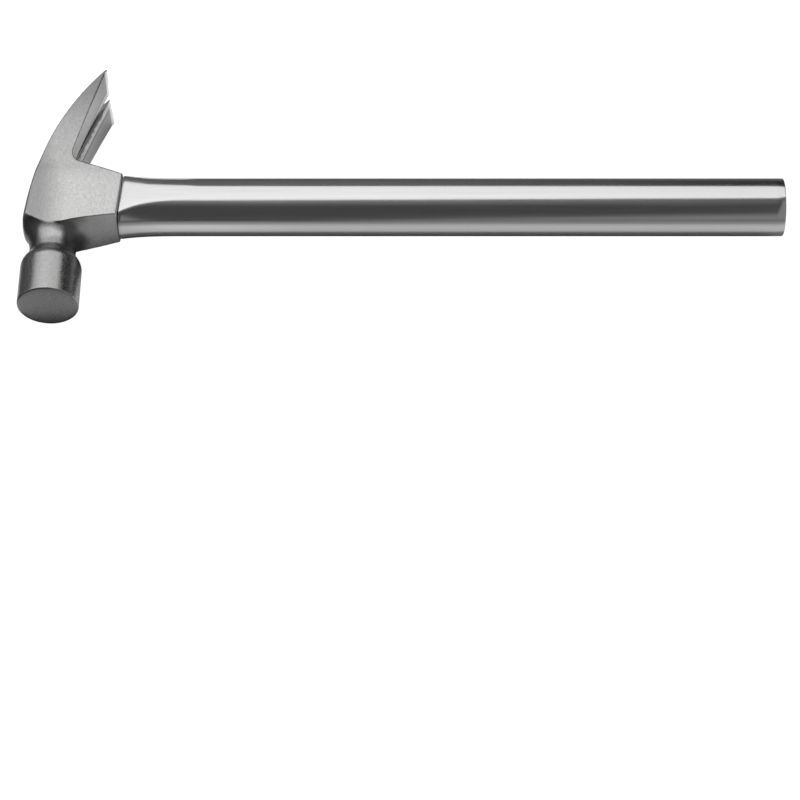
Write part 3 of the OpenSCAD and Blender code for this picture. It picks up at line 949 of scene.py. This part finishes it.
# Floor, cards and lights: places and sizes in metres, powers in watts, and how white or bright they are
FLOOR_REACH = 3
FLOOR_WHITE = 1.0
CARDS = {"card": ((-0.188, -0.6), (0.45, 0.062)), "claw_card": ((-0.188, 0.062), (-0.1, 0.1))}
CARD_HEIGHT = 0.0002
SIDE_CARD = {"x": 0.45, "front": 0.03, "back": 0.24, "height": 0.3}
SIDE_GLOW = 0.4
# The flag is a dim glowing sheet under the softbox, seen only in reflections, where it makes part of the
# softbox's reflection darker; it blocks no light.
FLAG = ((-0.2, -0.235), (1.2, -0.235), (1.2, 0.278), (0.5, 0.0215))
FLAG_HEIGHT = 1.199
FLAG_GLOW = 0.15
SOFTBOX = {"centre": (-0.525, 0.685, 1.2), "size_x": 2.95, "size_y": 1.83, "power": 18.3}
CARD_LIGHT = {"centre": (-0.35, 0.685, 1.2), "size_x": 3.3, "size_y": 1.83, "power": 24}

# Where the card's painted light and shadows change, in millimetres along X or Y, and their tones: light
# painted to fall off away from the hammer, a painted pool of light in front of the tube, painted shade far
# in front, and painted shadows under the handle and the head's socket and at the foot of the striking face
CARD_NEAR_Y = (-115, -25)
CARD_FALLOFF_TONES = (0.36, 0.85)
BESIDE_X = ((20, 45), (115, 50))
BESIDE_Y = (-75, -45)
BESIDE_LIGHT_TONE = 1.0
FAR_X = (180, 90)
FAR_Y = (-210, -270)
FAR_SHADE_TONE = 0.08
BELOW_X = (-18, -10)
BELOW_Y = ((-23.5, -19.5), (12, 4))
BELOW_SHADOW_TONE = 0.34
FOOT_X = ((-20, -14), (20, 14))
FOOT_Y = ((-67, -57.5), (-46, -52))
FOOT_SHADOW_TONE = 0.16

# Surroundings by direction, with their tones
FRONT_Y = (0.4, 0.05)
RIGHT_X = (0, 0.15)
BACK_TONES = (0.16, 0.03)
LOW_SLOPE = 2.6
LOW_Z = (0.085, 0)
FRONT_TONES = (0.075, 0.28)
HAZE_Y = (-0.55, -0.2)
HAZE_X = (0.25, 0)
HAZE_TONE = 0.26

# Camera, in metres, degrees and millimetres of film
CAMERA_PLACE = (-0.00172, -0.7033, 0.9178)
CAMERA_TILT = 33.6
LENS = 116.64
FILM_W = 36


def level(low, high, height):
    """Corners of a sheet that lies level."""
    places = ((low[0], low[1]), (high[0], low[1]), (high[0], high[1]), (low[0], high[1]))
    return [(x, y, height) for x, y in places]


def upright(x, front, back, height):
    """Corners of a sheet that stands across the handle."""
    return [(x, front, 0), (x, back, 0), (x, back, height), (x, front, height)]


def sheet(name, corners, material):
    """Flat sheet of the set."""
    mesh = bpy.data.meshes.new(name)
    mesh.from_pydata(corners, [], [(0, 1, 2, 3)])
    mesh.materials.append(material)
    obj = bpy.data.objects.new(name, mesh)
    bpy.context.scene.collection.objects.link(obj)
    return obj


def only_reflected(card):
    """Sheet that only reflections show."""
    card.visible_camera = False
    card.visible_diffuse = False
    card.visible_shadow = False


def set_paint(name, tone):
    """Matt paint for the set, without a shine. Where it is made to glow, it glows white."""
    material, main = shader(name, (tone, tone, tone), 0, 0.9)
    main.inputs["Specular IOR Level"].default_value = 0
    main.inputs["Emission Color"].default_value = (1, 1, 1, 1)
    return material, main


def floor():
    """Floor that is white to the camera and dim in reflections."""
    paper, main = set_paint("floor_paper", 0.12)
    tree = paper.node_tree
    path = tree.nodes.new("ShaderNodeLightPath")
    glow = product(tree, path.outputs["Is Camera Ray"], FLOOR_WHITE)
    tree.links.new(glow, main.inputs["Emission Strength"])
    sheet("floor", level((-FLOOR_REACH, -FLOOR_REACH), (FLOOR_REACH, FLOOR_REACH), 0), paper)


def patch(tree, x_ranges, y_ranges):
    """Part of the card between ranges along X and Y."""
    along = [reach(tree, "X", *x_range) for x_range in x_ranges]
    return product(tree, *along, *[reach(tree, "Y", *y_range) for y_range in y_ranges])


def floor_cards():
    """White cards under the hammer, that only reflections show, with painted light and painted shadows in
    patches.
    """
    white, main = set_paint("card_white", 0.85)
    tree = white.node_tree
    # Painted light that falls off away from the hammer, a painted pool of light in front of the tube,
    # painted shade far in front, and painted shadows under the handle and the head's socket and at the foot
    # of the striking face.
    tone = mix_tones(tree, reach(tree, "Y", *CARD_NEAR_Y), *CARD_FALLOFF_TONES)
    tone = mix_tones(tree, patch(tree, BESIDE_X, [BESIDE_Y]), tone, BESIDE_LIGHT_TONE)
    tone = mix_tones(tree, patch(tree, [FAR_X], [FAR_Y]), tone, FAR_SHADE_TONE)
    tone = mix_tones(tree, patch(tree, [BELOW_X], BELOW_Y), tone, BELOW_SHADOW_TONE)
    tone = mix_tones(tree, patch(tree, FOOT_X, FOOT_Y), tone, FOOT_SHADOW_TONE)
    tree.links.new(tone, main.inputs["Base Color"])
    for name, corners in CARDS.items():
        only_reflected(sheet(name, level(*corners, CARD_HEIGHT), white))


def glowing_card(name, corners, strength):
    """Card of an even tone, seen only in reflections."""
    glow, main = set_paint(name, 0)
    main.inputs["Emission Strength"].default_value = strength
    only_reflected(sheet(name, corners, glow))


def softbox(name, centre, size_x, size_y, power):
    """Soft light that hangs level and shines down."""
    data = bpy.data.lights.new(name, "AREA")
    data.shape = "RECTANGLE"
    data.size = size_x
    data.size_y = size_y
    data.energy = power
    obj = bpy.data.objects.new(name, data)
    obj.location = centre
    bpy.context.scene.collection.objects.link(obj)
    return obj


def surroundings():
    """Plain studio: white to the camera, and dark in reflections but for a haze and a pale lower right."""
    world = bpy.data.worlds.new("studio")
    bpy.context.scene.world = world
    world.use_nodes = True
    tree = world.node_tree
    direction = tree.nodes.new("ShaderNodeTexCoord")
    axes = tree.nodes.new("ShaderNodeSeparateXYZ")
    tree.links.new(direction.outputs["Generated"], axes.inputs["Vector"])
    front = spread(tree, axes.outputs["Y"], *FRONT_Y)
    right = spread(tree, axes.outputs["X"], *RIGHT_X)
    slope = product(tree, axes.outputs["X"], LOW_SLOPE)
    low = spread(tree, math_node(tree, "SUBTRACT", axes.outputs["Z"], slope), *LOW_Z)
    haze = product(tree, spread(tree, axes.outputs["Y"], *HAZE_Y), spread(tree, axes.outputs["X"], *HAZE_X))
    ahead = mix_tones(tree, low, mix_tones(tree, haze, FRONT_TONES[0], HAZE_TONE), FRONT_TONES[1])
    tone = mix_tones(tree, front, mix_tones(tree, right, *BACK_TONES), ahead)
    path = tree.nodes.new("ShaderNodeLightPath")
    tone = mix_tones(tree, path.outputs["Is Camera Ray"], tone, FLOOR_WHITE)
    tree.links.new(tone, tree.nodes["Background"].inputs["Color"])


def camera():
    """Camera at the photograph's place."""
    data = bpy.data.cameras.new("camera")
    data.sensor_width = FILM_W
    data.lens = LENS
    obj = bpy.data.objects.new("camera", data)
    obj.location = CAMERA_PLACE
    obj.rotation_euler = (math.radians(CAMERA_TILT), 0, 0)
    bpy.context.scene.collection.objects.link(obj)
    bpy.context.scene.camera = obj


floor()
floor_cards()
glowing_card("side_card", upright(**SIDE_CARD), SIDE_GLOW)
glowing_card("flag", [(x, y, FLAG_HEIGHT) for x, y in FLAG], FLAG_GLOW)
softbox("softbox", **SOFTBOX)
softbox("card_light", **CARD_LIGHT).visible_glossy = False
surroundings()
camera()
bpy.context.scene.view_settings.view_transform = "Standard"
